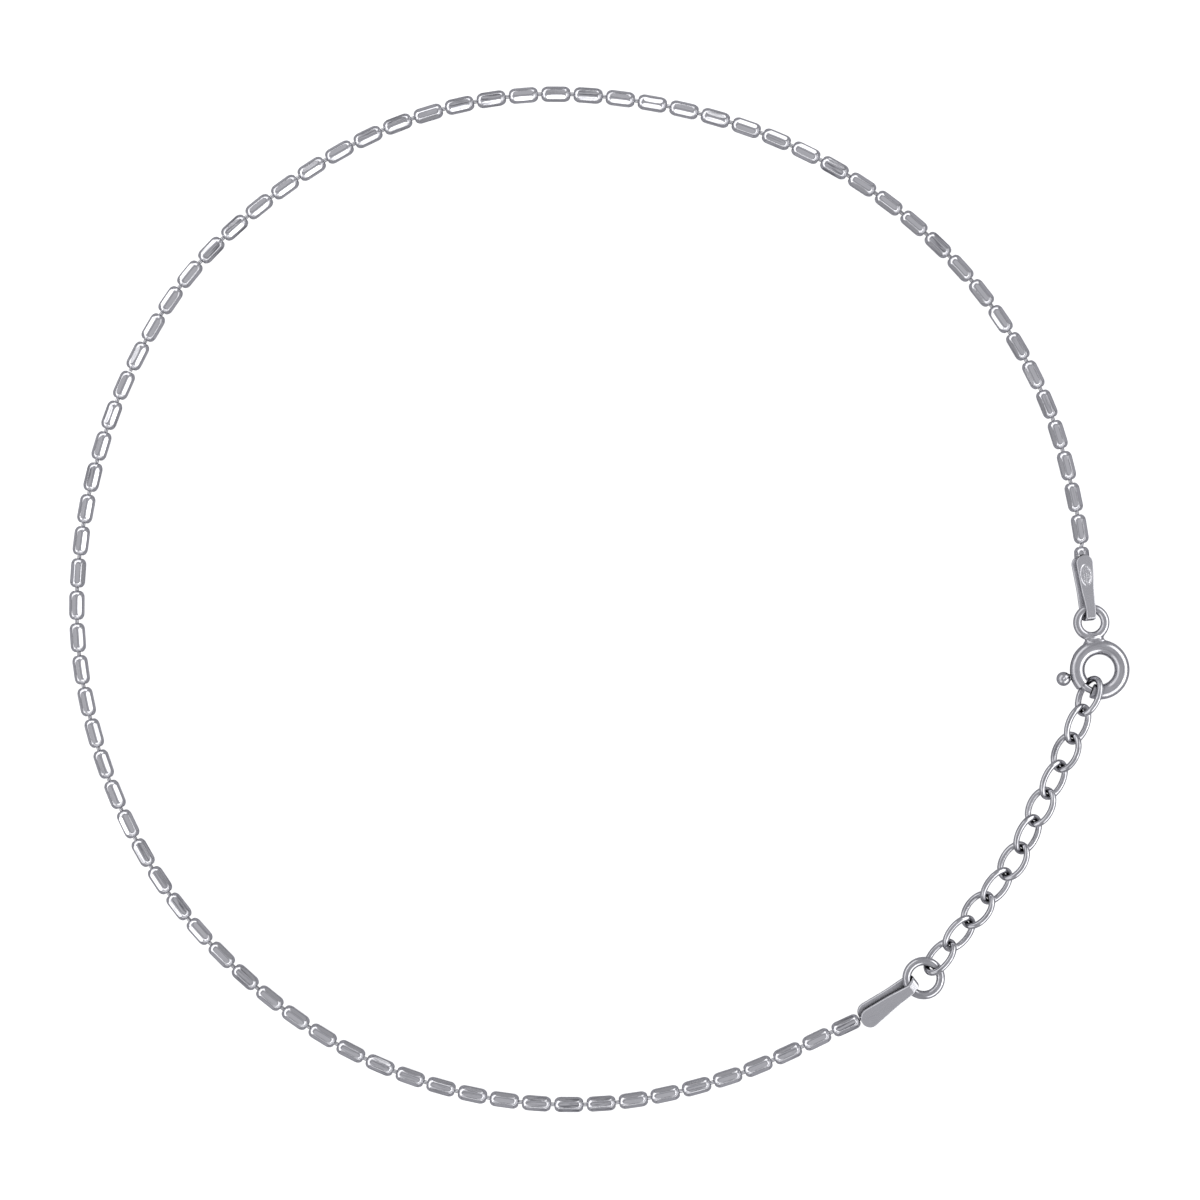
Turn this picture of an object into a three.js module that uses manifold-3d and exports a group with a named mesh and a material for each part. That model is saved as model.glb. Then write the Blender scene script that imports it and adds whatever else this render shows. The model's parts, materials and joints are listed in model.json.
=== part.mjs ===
// Payal anklet: a string of cut barrel beads, closed by a spring ring clasp and an extender of oval links.
// Millimetres, +Z up. It lies flat as a whole loop, and every bead rests on z = 0.
import * as THREE from 'three';
import { mergeVertices } from 'three/addons/utils/BufferGeometryUtils.js';
import Module from 'manifold-3d';

const wasm = await Module();
wasm.setup();

// Barrel beads and the rods between them
const beadLength = 2.3;
const beadRadius = 0.64;
const beadFlats = 8;
const beadGap = 0.29;
const beadEndRadius = 0.26;
const beadShoulder = 0.4;
const rodRadius = 0.15;
const rodSides = 6;
const rodBite = 0.1;
const rollShare = 0.618;
const headBeadAt = 0.2;

// Folded end tabs: the back leaf lies to one side of the front one by a share of the thickness
const leafThickness = 0.2;
const tabThickness = 1.0;
const tabNarrowWidth = 0.76;
const tabs = {
  upper: { broadWidth: 1.34, span: 3.65, foldSlack: 0.28, heading: -84, skew: 0.36, ringHeading: -74 },
  lower: { broadWidth: 1.52, span: 3.95, foldSlack: 0.12, heading: 37, skew: -0.56, ringHeading: 26 },
};

// Spring ring clasp with its soldered eye
const claspRadius = 1.8;
const claspTubeRadius = 0.6;
const claspBoreRadius = 0.37;
const gapFrom = 223;
const gapTo = 250;
const eyeRadius = 1.11;
const eyeWireRadius = 0.35;
const eyeHeading = 280;
const solderWidth = 1.6;
const solderThickness = 0.56;
const solderFlare = 1.15;
const solderWaist = 0.9;

// Trigger: a curved bolt in the bore, with a neck and a ball outside
const boltRadius = 0.27;
const boltBite = 4;
const boltTail = 12;
const triggerAngle = 194.5;
const triggerTravel = 35;
const neckRadius = 0.17;
const ballRadius = 0.57;
const ballStandOff = 0.58;
const slotMargin = 6;
const slotClearance = 0.08;
const boreOverrun = 2;
const socketSlack = 3;

// Extender chain and jump ring
const linkLength = 3.4;
const linkWidth = 2.5;
const linkWireRadius = 0.22;
const linkTilt = 40;
const endLinkTilt = 52;
const endLinkSlack = 0.1;
const linkHeading = 248;
const jumpRadius = 1.36;
const jumpWireRadius = 0.32;
const lastLinkHeading = 52;

// Clearance between pieces that move against each other
const gap = 0.07;
const foldGap = 0.12;

// Faceting
const wireSides = 6;
const linkSteps = 14;
const tubeSides = 12;
const tubeSteps = 28;
const eyeSides = 8;
const eyeSteps = 16;
const boltSides = 8;
const boreSides = 10;
const rodStepAngle = 9;
const ballSides = 12;
const tabEndSteps = 8;
const foldSteps = 6;
const wedgeSteps = 6;
const solderSteps = 2;
const routeDivisions = 1200;
const weldDistance = 0.00001;
const meshTolerance = 0.0005;

// Route of the bead string on the table, from the upper tab to the lower tab
const stringRoute = [
  [38.6, 2.9], [38.4, 5.7], [35.8, 15.6], [30.6, 24.5], [23.2, 31.7], [14.3, 36.8],
  [4.4, 39.7], [-5.9, 40.4], [-15.9, 38.2], [-25.0, 33.2], [-32.8, 26.1], [-38.1, 17.2],
  [-41.1, 7.4], [-41.8, -2.9], [-39.8, -12.9], [-35.3, -22.3], [-28.5, -30.1], [-20.0, -36.1],
  [-10.1, -39.6], [0.2, -40.3], [10.3, -38.2], [19.8, -34.0], [21.5, -33.2],
];

// Route of the extender between its first and last links
const extenderRoute = [[37.2, -12.35], [35.15, -16.73], [33.0, -21.0], [30.2, -24.8]];

const silver = new THREE.MeshStandardMaterial({
  name: 'polished_silver', color: 0xd4d4d9, metalness: 1, roughness: 0.16, flatShading: true,
});

const group = new THREE.Group();
const degrees = Math.PI / 180;
const up = new THREE.Vector3(0, 0, 1);

// Closed mesh with shared vertices and faces that point out, ready to be joined or cut
function solid(geometry) {
  geometry.deleteAttribute('normal');
  geometry.deleteAttribute('uv');
  const merged = mergeVertices(geometry, weldDistance);
  const corners = merged.getAttribute('position').array;
  const index = merged.getIndex().array;
  const kept = [];
  let volume = 0;
  for (let i = 0; i < index.length; i += 3) {
    const [a, b, c] = [index[i], index[i + 1], index[i + 2]];
    if (a === b || b === c || c === a) continue;
    kept.push(a, b, c);
    const [p, q, r] = [a, b, c].map((n) => new THREE.Vector3().fromArray(corners, 3 * n));
    volume += p.dot(q.cross(r));
  }
  const facing = volume > 0 ? kept : kept.reverse();
  const mesh = new wasm.Mesh({
    numProp: 3,
    vertProperties: Float32Array.from(corners),
    triVerts: Uint32Array.from(facing),
  });
  return new wasm.Manifold(mesh);
}

function fused(solids) {
  return solids.reduce((whole, next) => whole.add(next));
}

function addNode(name, body) {
  const mesh = body.asOriginal().simplify(meshTolerance).getMesh();
  const geometry = new THREE.BufferGeometry();
  geometry.setAttribute('position', new THREE.BufferAttribute(mesh.vertProperties, 3));
  geometry.setIndex(new THREE.BufferAttribute(mesh.triVerts, 1));
  const node = new THREE.Mesh(geometry, silver);
  node.name = name;
  group.add(node);
  return node;
}

function polar(centre, radius, angle) {
  const turn = angle * degrees;
  return new THREE.Vector3(
    centre.x + radius * Math.cos(turn),
    centre.y + radius * Math.sin(turn),
    centre.z,
  );
}

// Frame at a place: X runs along a direction and Y is level, before the whole is rolled about X
function frameAt(place, along, roll) {
  const x = along.clone().normalize();
  const y = up.clone().cross(x).normalize();
  const z = x.clone().cross(y);
  const turned = new THREE.Matrix4().makeBasis(x, y, z).setPosition(place);
  return turned.multiply(new THREE.Matrix4().makeRotationX(roll * degrees));
}

function roundSection(radius, sides) {
  const section = new THREE.Shape();
  for (let i = 0; i < sides; i += 1) {
    const turn = (2 * Math.PI * (i + 0.5)) / sides;
    section[i ? 'lineTo' : 'moveTo'](radius * Math.cos(turn), radius * Math.sin(turn));
  }
  section.closePath();
  return section;
}

// Level arc about a centre, as the path of a bent rod or bore
class ArcPath extends THREE.Curve {
  constructor(centre, radius, from, to) {
    super();
    Object.assign(this, { centre, radius, from, to });
  }

  getPoint(t, target = new THREE.Vector3()) {
    return target.copy(polar(this.centre, this.radius, this.from + t * (this.to - this.from)));
  }
}

function bentRod(centre, radius, from, to, wireRadius, sides) {
  const steps = Math.max(2, Math.round((to - from) / rodStepAngle));
  const extrudePath = new ArcPath(centre, radius, from, to);
  return solid(new THREE.ExtrudeGeometry(roundSection(wireRadius, sides), { steps, extrudePath }));
}

function straightRod(from, to, radius, sides) {
  const span = to.clone().sub(from);
  const geometry = new THREE.CylinderGeometry(radius, radius, span.length(), sides);
  geometry.rotateZ(-Math.PI / 2);
  geometry.applyMatrix4(frameAt(from.clone().add(to).multiplyScalar(0.5), span, 0));
  return solid(geometry);
}

// Round or oval wire ring: each section of a torus is moved to the oval and turned square to it
function wireRing(halfLength, halfWidth, wireRadius, sides, steps, frame) {
  const geometry = new THREE.TorusGeometry(1, wireRadius, sides, steps);
  const position = geometry.getAttribute('position');
  for (let i = 0; i < position.count; i += 1) {
    const turn = Math.atan2(position.getY(i), position.getX(i));
    const out = Math.hypot(position.getX(i), position.getY(i)) - 1;
    const normal = new THREE.Vector2(halfWidth * Math.cos(turn), halfLength * Math.sin(turn)).normalize();
    position.setX(i, halfLength * Math.cos(turn) + out * normal.x);
    position.setY(i, halfWidth * Math.sin(turn) + out * normal.y);
  }
  geometry.applyMatrix4(frame);
  return solid(geometry);
}

function levelRing(centre, radius, wireRadius, sides, steps) {
  const frame = new THREE.Matrix4().setPosition(centre);
  return wireRing(radius, radius, wireRadius, sides, steps, frame);
}

// Folded tab, from the middle of its round end at x = 0 to the wire that it holds at x = span
function tabOutline(tab, margin, depth) {
  const broad = tab.broadWidth / 2 + margin;
  const narrow = tabNarrowWidth / 2 + margin;
  const reach = tab.span + 2 * tabThickness + margin;
  const lean = Math.asin((broad - narrow) / tab.span);
  const outline = new THREE.Shape();
  outline.absarc(0, 0, broad, Math.PI / 2 - lean, 1.5 * Math.PI + lean, false);
  outline.lineTo(tab.span, -narrow);
  outline.lineTo(reach, -narrow);
  outline.lineTo(reach, narrow);
  outline.lineTo(tab.span, narrow);
  outline.closePath();
  const options = { depth, bevelEnabled: false, curveSegments: tabEndSteps };
  const geometry = new THREE.ExtrudeGeometry(outline, options);
  geometry.translate(0, 0, -depth / 2);
  return geometry;
}

function foldProfile(tab, heldRadius) {
  const inner = heldRadius + foldGap;
  const outer = inner + leafThickness;
  const foldAt = tab.span + tab.foldSlack;
  const mouth = -tab.broadWidth;
  const half = tabThickness / 2;
  const profile = new THREE.Shape();
  profile.moveTo(mouth, -half);
  profile.lineTo(tab.span / 2, -half);
  profile.lineTo(foldAt, -outer);
  profile.absarc(foldAt, 0, outer, -Math.PI / 2, Math.PI / 2, false);
  profile.lineTo(tab.span / 2, half);
  profile.lineTo(mouth, half);
  profile.lineTo(mouth, half - leafThickness);
  profile.lineTo(tab.span / 2, half - leafThickness);
  profile.lineTo(foldAt, inner);
  profile.absarc(foldAt, 0, inner, Math.PI / 2, -Math.PI / 2, true);
  profile.lineTo(tab.span / 2, leafThickness - half);
  profile.lineTo(mouth, leafThickness - half);
  profile.closePath();
  const depth = 2 * tab.broadWidth;
  const options = { depth, bevelEnabled: false, curveSegments: foldSteps };
  const geometry = new THREE.ExtrudeGeometry(profile, options);
  geometry.translate(0, 0, -depth / 2);
  geometry.rotateX(Math.PI / 2);
  return geometry;
}

function foldedTab(tab, heldRadius, frame) {
  const outline = tabOutline(tab, 0, 4 * tabThickness).applyMatrix4(frame);
  return solid(outline).intersect(solid(foldProfile(tab, heldRadius).applyMatrix4(frame)));
}

// Heights at which tilted links rest on the table, and the rings that they hang from
const linkHalfLength = linkLength / 2 - linkWireRadius;
const linkHalfWidth = linkWidth / 2 - linkWireRadius;
const restHeight = (tilt) => linkHalfWidth * Math.sin(tilt * degrees) + linkWireRadius;
const jumpHeight = restHeight(endLinkTilt);

// The first link's upper side passes over the clasp's tube, and its lower side under the bolt in the gap
const hang = linkHalfLength - linkWireRadius - endLinkSlack - gap;
const crossingShare = Math.sqrt(1 - ((hang - claspTubeRadius) / linkHalfLength) ** 2);
const crossingRise = linkHalfWidth * crossingShare * Math.sin(endLinkTilt * degrees);
const claspHeight = restHeight(endLinkTilt) + crossingRise - claspTubeRadius - linkWireRadius - gap;

// The tabs start where the string's route ends, and rise to the wires that they are folded round
function tabFrame(tab, end, hold) {
  const skewed = new THREE.Matrix4().makeShear(0, 0, 0, 0, 0, tab.skew);
  return frameAt(end, hold.clone().sub(end), 0).multiply(skewed);
}

const upperEnd = new THREE.Vector3(...stringRoute[0], beadRadius);
const lowerEnd = new THREE.Vector3(...stringRoute.at(-1), beadRadius);
const upperHold = polar(upperEnd, tabs.upper.span, tabs.upper.heading).setZ(claspHeight);
const lowerHold = polar(lowerEnd, tabs.lower.span, tabs.lower.heading).setZ(jumpHeight);
const upperFrame = tabFrame(tabs.upper, upperEnd, upperHold);
const lowerFrame = tabFrame(tabs.lower, lowerEnd, lowerHold);

addNode('end_tab_upper', foldedTab(tabs.upper, eyeWireRadius, upperFrame));
addNode('end_tab_lower', foldedTab(tabs.lower, jumpWireRadius, lowerFrame));

// The eye hangs on the upper tab, the clasp on the eye, and the jump ring on the lower tab
const eyeCentre = polar(upperHold, eyeRadius, tabs.upper.ringHeading);
const eyeToClasp = eyeRadius + eyeWireRadius + claspRadius + claspTubeRadius - gap / 2;
const claspCentre = polar(eyeCentre, eyeToClasp, eyeHeading);
const jumpCentre = polar(lowerHold, jumpRadius, tabs.lower.ringHeading);

function slab(outline, thickness, height) {
  const options = { depth: thickness, bevelEnabled: false, curveSegments: wedgeSteps };
  const geometry = new THREE.ExtrudeGeometry(outline, options);
  geometry.translate(0, 0, height - thickness / 2);
  return solid(geometry);
}

function wedge(centre, from, to, near, far) {
  const outline = new THREE.Shape();
  outline.absarc(centre.x, centre.y, far, from * degrees, to * degrees, false);
  outline.absarc(centre.x, centre.y, near, to * degrees, from * degrees, true);
  outline.closePath();
  return outline;
}

// Solder between the ring and its eye: widest where it meets the ring, with a waist between the two
function solderJoint() {
  const outline = new THREE.Shape();
  const half = solderWidth / 2;
  const tubeSide = -claspTubeRadius;
  const eyeSide = eyeWireRadius;
  outline.moveTo(tubeSide, -half * solderFlare);
  outline.quadraticCurveTo(0, -half * solderWaist, eyeSide, -half);
  outline.lineTo(eyeSide, half);
  outline.quadraticCurveTo(0, half * solderWaist, tubeSide, half * solderFlare);
  outline.closePath();
  const options = { depth: solderThickness, bevelEnabled: false, curveSegments: solderSteps };
  const geometry = new THREE.ExtrudeGeometry(outline, options);
  geometry.translate(0, 0, -solderThickness / 2);
  const seam = polar(claspCentre, claspRadius + claspTubeRadius, eyeHeading + 180);
  geometry.applyMatrix4(frameAt(seam, eyeCentre.clone().sub(claspCentre), 0));
  return solid(geometry);
}

// Hollow ring with a gap, a bore and a slot for the bolt and its neck, and a socket past the gap
function claspBody() {
  const tube = levelRing(claspCentre, claspRadius, claspTubeRadius, tubeSides, tubeSteps);
  const eye = levelRing(eyeCentre, eyeRadius, eyeWireRadius, eyeSides, eyeSteps);
  const reach = 2 * claspTubeRadius;
  const cutOut = slab(wedge(claspCentre, gapFrom, gapTo, claspRadius - reach, claspRadius + reach),
    2 * reach, claspHeight);
  const boreFrom = triggerAngle - triggerTravel - boltTail - slotMargin;
  const boreTo = gapFrom + boreOverrun;
  const bore = bentRod(claspCentre, claspRadius, boreFrom, boreTo, claspBoreRadius, boreSides);
  const socketTo = gapTo + boltBite + socketSlack;
  const socket = bentRod(claspCentre, claspRadius, gapTo - boreOverrun, socketTo, claspBoreRadius, boreSides);
  const slotOutline = wedge(claspCentre, triggerAngle - triggerTravel - slotMargin,
    triggerAngle + slotMargin, claspRadius, claspRadius + reach);
  const slot = slab(slotOutline, 2 * (neckRadius + slotClearance), claspHeight);
  return fused([tube, solderJoint(), eye]).subtract(fused([cutOut, bore, socket, slot]));
}

function triggerBody() {
  const boltFrom = triggerAngle - boltTail;
  const bolt = bentRod(claspCentre, claspRadius, boltFrom, gapTo + boltBite, boltRadius, boltSides);
  const ballCentre = polar(claspCentre, claspRadius + claspTubeRadius + ballStandOff, triggerAngle);
  const root = polar(claspCentre, claspRadius, triggerAngle);
  const ball = new THREE.SphereGeometry(ballRadius, ballSides, boltSides);
  ball.rotateX(Math.PI / 2);
  ball.translate(...ballCentre.toArray());
  return fused([bolt, straightRod(root, ballCentre, neckRadius, boltSides), solid(ball)]);
}

addNode('clasp_ring', claspBody());
addNode('clasp_trigger', triggerBody());
addNode('jump_ring', levelRing(jumpCentre, jumpRadius, jumpWireRadius, eyeSides, eyeSteps));

// Extender: the end links pass round the clasp's tube and the jump ring, and the rest share the way between
const firstLink = polar(claspCentre, claspRadius - claspTubeRadius + hang, linkHeading);
const lastLink = polar(jumpCentre, jumpRadius - jumpWireRadius + hang, lastLinkHeading);
const chainCurve = new THREE.CatmullRomCurve3(
  [firstLink, ...extenderRoute.map(([x, y]) => new THREE.Vector3(x, y, jumpHeight)), lastLink],
  false,
  'centripetal',
);
const longestPitch = linkLength - 4 * linkWireRadius - gap;
const linkSpaces = Math.ceil(chainCurve.getLength() / longestPitch);
for (let i = 0; i <= linkSpaces; i += 1) {
  const place = chainCurve.getPointAt(i / linkSpaces);
  const tilt = i === 0 || i === linkSpaces ? endLinkTilt : linkTilt;
  place.z = restHeight(tilt);
  const towards = chainCurve.getTangentAt(i / linkSpaces).setZ(0);
  const frame = frameAt(place, towards, i % 2 ? -tilt : tilt);
  const name = `extender_link_${String(i + 1).padStart(2, '0')}`;
  addNode(name, wireRing(linkHalfLength, linkHalfWidth, linkWireRadius, wireSides, linkSteps, frame));
}

// Bead string: evenly spaced beads along the route, each rolled by its own share of a flat
const stringCurve = new THREE.CatmullRomCurve3(
  stringRoute.map(([x, y]) => new THREE.Vector3(x, y, 0)),
  false,
  'centripetal',
);
stringCurve.arcLengthDivisions = routeDivisions;
const stringLength = stringCurve.getLength();
const beadPitch = beadLength + beadGap;
const lastRoom = tabs.lower.broadWidth / 2 + beadLength / 2 + gap;
const beadCount = 1 + Math.floor((stringLength - headBeadAt - lastRoom) / beadPitch);
const restBead = Math.floor(beadCount / 2);
const flatAngle = 360 / beadFlats;

function beadAt(i) {
  const share = (i - restBead) * rollShare;
  const roll = (share - Math.round(share)) * flatAngle;
  const height = beadRadius * Math.cos((flatAngle / 2 - Math.abs(roll)) * degrees);
  const way = (headBeadAt + i * beadPitch) / stringLength;
  const place = stringCurve.getPointAt(way).setZ(height);
  return { place, along: stringCurve.getTangentAt(way), roll };
}

// Cut barrel: a profile of flats with a rounded shoulder at each end, turned about the string
function barrel({ place, along, roll }) {
  const half = beadLength / 2;
  const profile = [new THREE.Vector2(0, -half)];
  for (const share of [0, 0.5, 1]) {
    const turn = (share * Math.PI) / 2;
    const radius = beadEndRadius + (beadRadius - beadEndRadius) * Math.sin(turn);
    profile.push(new THREE.Vector2(radius, -half + beadShoulder * (1 - Math.cos(turn))));
  }
  const mirrored = profile.map((p) => new THREE.Vector2(p.x, -p.y)).reverse();
  const geometry = new THREE.LatheGeometry([...profile, ...mirrored], beadFlats);
  geometry.rotateZ(-Math.PI / 2);
  geometry.rotateX((flatAngle / 2) * degrees);
  geometry.applyMatrix4(frameAt(place, along, roll));
  return solid(geometry);
}

function beadFace(bead, side, inset) {
  return bead.place.clone().addScaledVector(bead.along, side * (beadLength / 2 - inset));
}

const beads = Array.from({ length: beadCount }, (_, i) => beadAt(i));
const splitAt = Math.ceil(beadCount / 2);

function beadString(first, last) {
  const pieces = beads.slice(first, last).map(barrel);
  for (let i = first; i < last - 1; i += 1) {
    const rod = [beadFace(beads[i], 1, rodBite), beadFace(beads[i + 1], -1, rodBite)];
    pieces.push(straightRod(...rod, rodRadius, rodSides));
  }
  return fused(pieces);
}

const upperClear = solid(tabOutline(tabs.upper, gap, 8 * tabThickness).applyMatrix4(upperFrame));
const upperTail = straightRod(upperEnd, beadFace(beads[0], 1, rodBite), rodRadius, rodSides);
const meeting = straightRod(beadFace(beads[splitAt - 1], 1, rodBite),
  beadFace(beads[splitAt], -1, -gap), rodRadius, rodSides);
const lowerTail = straightRod(beadFace(beads.at(-1), 1, rodBite), lowerEnd, rodRadius, rodSides);
addNode('bead_string_upper', fused([beadString(0, splitAt).subtract(upperClear), upperTail, meeting]));
addNode('bead_string_lower', fused([beadString(splitAt, beadCount), lowerTail]));

// The origin is the middle of the loop's box, on the table
const box = new THREE.Box3().setFromObject(group);
const middle = box.getCenter(new THREE.Vector3());
group.children.forEach((node) => node.geometry.translate(-middle.x, -middle.y, -box.min.z));

export default group;
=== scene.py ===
import bmesh
import bpy
import json
import math
import numpy as np
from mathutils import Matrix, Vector

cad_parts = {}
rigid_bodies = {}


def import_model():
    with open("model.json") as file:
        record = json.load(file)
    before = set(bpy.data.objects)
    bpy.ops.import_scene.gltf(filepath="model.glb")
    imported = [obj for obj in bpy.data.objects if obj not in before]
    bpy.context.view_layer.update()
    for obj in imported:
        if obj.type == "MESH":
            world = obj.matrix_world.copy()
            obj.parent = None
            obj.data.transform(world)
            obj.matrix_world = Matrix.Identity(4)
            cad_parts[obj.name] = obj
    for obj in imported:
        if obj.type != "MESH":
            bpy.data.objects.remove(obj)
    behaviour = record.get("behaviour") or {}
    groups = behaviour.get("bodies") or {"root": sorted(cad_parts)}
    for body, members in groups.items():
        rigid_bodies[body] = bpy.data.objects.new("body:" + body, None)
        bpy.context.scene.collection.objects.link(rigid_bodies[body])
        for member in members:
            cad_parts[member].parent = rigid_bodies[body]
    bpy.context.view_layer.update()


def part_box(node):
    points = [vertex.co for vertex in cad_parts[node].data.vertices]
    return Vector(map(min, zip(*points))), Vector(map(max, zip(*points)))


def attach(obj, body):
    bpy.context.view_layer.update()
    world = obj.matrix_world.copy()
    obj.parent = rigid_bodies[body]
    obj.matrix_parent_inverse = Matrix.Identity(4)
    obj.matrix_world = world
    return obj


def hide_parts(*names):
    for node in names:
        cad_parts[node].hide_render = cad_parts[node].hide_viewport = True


# Payal anklet in polished and satin silver, lying flat and seen from straight above.
# Every shape is worked out in millimetres and becomes metres when its mesh is made.
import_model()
mm = 0.001
up = np.array([0.0, 0.0, 1.0])
directionStep = 0.02       # mm either way of a place, from which a route's direction is taken
mergeDistance = 2e-8       # metres, points nearer than this are one
sharpAngle = 38            # degrees between faces, above which their edge is drawn sharp
creaseBand = 0.1           # how near a half a point's uncut value is on the line where a flat begins

print("stage: helpers")


def unit(vector):
    return vector / np.linalg.norm(vector, axis=-1, keepdims=True)


# Falls smoothly from 1 to 0 as x rises through 0: 1 / (1 + e^x)
def softStep(x):
    return 1 / (1 + np.exp(np.clip(x, -30, 30)))


# A point at a radius and a level angle from a centre: centre plus radius times (cosine, sine, 0)
def polar(centre, radius, angle):
    turn = np.radians(angle)
    level = np.stack([np.cos(turn), np.sin(turn), np.zeros_like(turn)], -1)
    return np.asarray(centre) + np.asarray(radius)[..., None] * level


# Axes at a place: x runs along a direction, y is level, z is square to both, and the whole rolls about x
def axesAlong(along, roll):
    x = unit(np.asarray(along, float))
    y = unit(np.cross(up, x))
    z = np.cross(x, y)
    turn = np.radians(np.asarray(roll, float))[..., None]
    return np.stack([x, y * np.cos(turn) + z * np.sin(turn), z * np.cos(turn) - y * np.sin(turn)], -2)


# Smooth curve through points: between two of them it is the cubic whose slopes come from the
# neighbours, weighted by the square roots of the distances (centripetal), read off by its length
def routeThrough(points, samples=400):
    points = np.asarray(points, float)
    before, after = 2 * points[0] - points[1], 2 * points[-1] - points[-2]
    full = np.vstack([before, points, after])
    p0, p1, p2, p3 = full[:-3], full[1:-2], full[2:-1], full[3:]
    spans = ((p0, p1), (p1, p2), (p2, p3))
    d0, d1, d2 = [np.sqrt(np.linalg.norm(b - a, axis=1))[:, None] for a, b in spans]
    slopeA = ((p1 - p0) / d0 - (p2 - p0) / (d0 + d1) + (p2 - p1) / d1) * d1
    slopeB = ((p2 - p1) / d1 - (p3 - p1) / (d1 + d2) + (p3 - p2) / d2) * d1
    t = np.linspace(0, 1, samples, endpoint=False)[None, :, None]
    squared = (3 * (p2 - p1) - 2 * slopeA - slopeB)[:, None]
    cubed = (2 * (p1 - p2) + slopeA + slopeB)[:, None]
    inner = p1[:, None] + slopeA[:, None] * t + squared * t**2 + cubed * t**3
    line = np.vstack([inner.reshape(-1, points.shape[1]), points[-1:]])
    lengths = np.concatenate([[0], np.cumsum(np.linalg.norm(np.diff(line, axis=0), axis=1))])
    return line, lengths


# Places at distances along a route, and the route's directions there
def routeAt(route, distances):
    line, lengths = route

    def at(way):
        return np.stack([np.interp(way, lengths, line[:, k]) for k in range(line.shape[1])], -1)

    before = np.maximum(distances - directionStep, 0)
    after = np.minimum(distances + directionStep, lengths[-1])
    return at(distances), unit(at(after) - at(before))


# A shell is a grid of points with one number along its rows and one round its columns for each corner.
# Its columns close round, and its rows close round too when it is a ring.
def gridShell(points, alongRows, ring=False, roundColumns=None, keep=None, lengthRound=None):
    rows, columns = points.shape[:2]
    i, j = np.meshgrid(np.arange(rows if ring else rows - 1), np.arange(columns), indexing="ij")
    k, m = (i + 1) % rows, (j + 1) % columns
    faces = np.stack([i * columns + j, k * columns + j, k * columns + m, i * columns + m], -1)
    rowMark = np.append(alongRows, lengthRound if ring else alongRows[-1])
    columnMark = np.arange(columns + 1) / columns if roundColumns is None else np.append(roundColumns, 1)
    corners = np.stack([
        np.stack([rowMark[i], columnMark[j]], -1), np.stack([rowMark[i + 1], columnMark[j]], -1),
        np.stack([rowMark[i + 1], columnMark[j + 1]], -1), np.stack([rowMark[i], columnMark[j + 1]], -1)], -2)
    if keep is not None:
        faces, corners = faces[keep], corners[keep]
    return points.reshape(-1, 3), faces.reshape(-1, 4), corners.reshape(-1, 4, 2)


# Marks the lines where a cut flat meets the barrel skin, halfway between cut (0) and uncut (1), as sharp
def creaseLines(mesh):
    halfway = np.zeros(len(mesh.vertices), np.float32)
    mesh.attributes["uncut"].data.foreach_get("value", halfway)
    onBorder = np.abs(halfway - 0.5) < creaseBand
    ends = np.zeros(len(mesh.edges) * 2, np.int32)
    mesh.edges.foreach_get("vertices", ends)
    sharp = mesh.attributes.get("sharp_edge") or mesh.attributes.new("sharp_edge", "BOOLEAN", "EDGE")
    already = np.zeros(len(mesh.edges), bool)
    sharp.data.foreach_get("value", already)
    sharp.data.foreach_set("value", already | onBorder[ends].reshape(-1, 2).all(1))


# Puts shells together as one mesh piece: doubles merge, so poles and seams close, and faces turn outwards
def makePiece(name, shells, material, body, nodes, tones=None, uncut=None):
    starts = np.cumsum([0] + [len(shell[0]) for shell in shells])
    points = np.vstack([shell[0] for shell in shells]) * mm
    faces = np.vstack([shell[1] + start for shell, start in zip(shells, starts)])
    corners = np.vstack([shell[2] for shell in shells])
    mesh = bpy.data.meshes.new(name)
    mesh.from_pydata(points.tolist(), [], faces.tolist())
    mesh.uv_layers.new(name="UVMap").data.foreach_set("uv", corners.ravel())
    tone = mesh.attributes.new("tone", "FLOAT", "POINT")
    tone.data.foreach_set("value", np.full(len(points), 0.5) if tones is None else tones)
    if uncut is not None:
        mesh.attributes.new("uncut", "FLOAT", "POINT").data.foreach_set("value", uncut)
    work = bmesh.new()
    work.from_mesh(mesh)
    bmesh.ops.remove_doubles(work, verts=work.verts, dist=mergeDistance)
    bmesh.ops.recalc_face_normals(work, faces=work.faces)
    work.to_mesh(mesh)
    work.free()
    mesh.polygons.foreach_set("use_smooth", np.ones(len(mesh.polygons), bool))
    mesh.set_sharp_from_angle(angle=math.radians(sharpAngle))
    if uncut is not None:
        creaseLines(mesh)
    mesh.materials.append(material)
    piece = bpy.data.objects.new(name, mesh)
    bpy.context.scene.collection.objects.link(piece)
    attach(piece, body)
    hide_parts(*nodes)
    return piece


# Wire ring or oval link: its middle line is (a cos t, b sin t), and a round section of the wire's
# radius stands on it, in the plane of the line's own normal (b cos t, a sin t) and the upright
def wireRing(halfLength, halfWidth, wireRadius, place, axes, steps, sides):
    t = np.arange(steps) * 2 * np.pi / steps
    s = np.arange(sides) * 2 * np.pi / sides
    middle = np.stack([halfLength * np.cos(t), halfWidth * np.sin(t), 0 * t], -1)
    normal = unit(np.stack([halfWidth * np.cos(t), halfLength * np.sin(t), 0 * t], -1))
    section = np.cos(s)[None, :, None] * normal[:, None] + np.sin(s)[None, :, None] * up
    points = middle[:, None] + wireRadius * section
    way = t * (halfLength + halfWidth) / 2
    return gridShell(points @ axes + place, way, ring=True, lengthRound=np.pi * (halfLength + halfWidth))


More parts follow.
